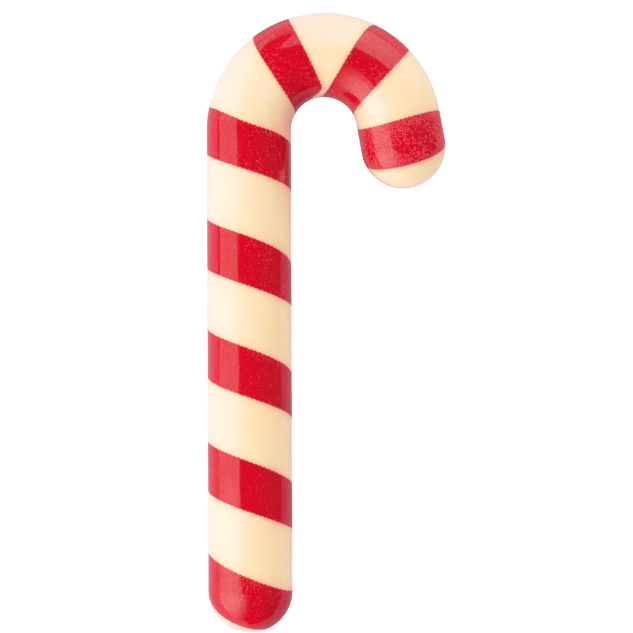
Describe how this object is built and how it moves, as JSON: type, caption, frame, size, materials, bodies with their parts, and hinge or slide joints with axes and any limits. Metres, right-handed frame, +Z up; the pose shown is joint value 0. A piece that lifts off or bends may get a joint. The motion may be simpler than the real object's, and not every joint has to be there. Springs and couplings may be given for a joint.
{
  "type": "white chocolate candy cane",
  "caption": "Solid white chocolate candy cane: a round bar with domed ends, bent over into a hook, with printed red stripes that wind round it.",
  "frame": {"origin": "under the middle of the cane's box, on the surface that it lies on", "axes": "+Y along the shaft from the foot towards the bend, +X from the shaft towards the hook's tip, +Z up from the surface that the cane lies on"},
  "size_m": [0.027, 0.07, 0.0095],
  "materials": {
    "white_chocolate": "glossy moulded white chocolate, cream, with printed glossy red stripes"
  },
  "bodies": {
    "root": {"candy_cane": "white_chocolate"}
  },
  "joints": []
}
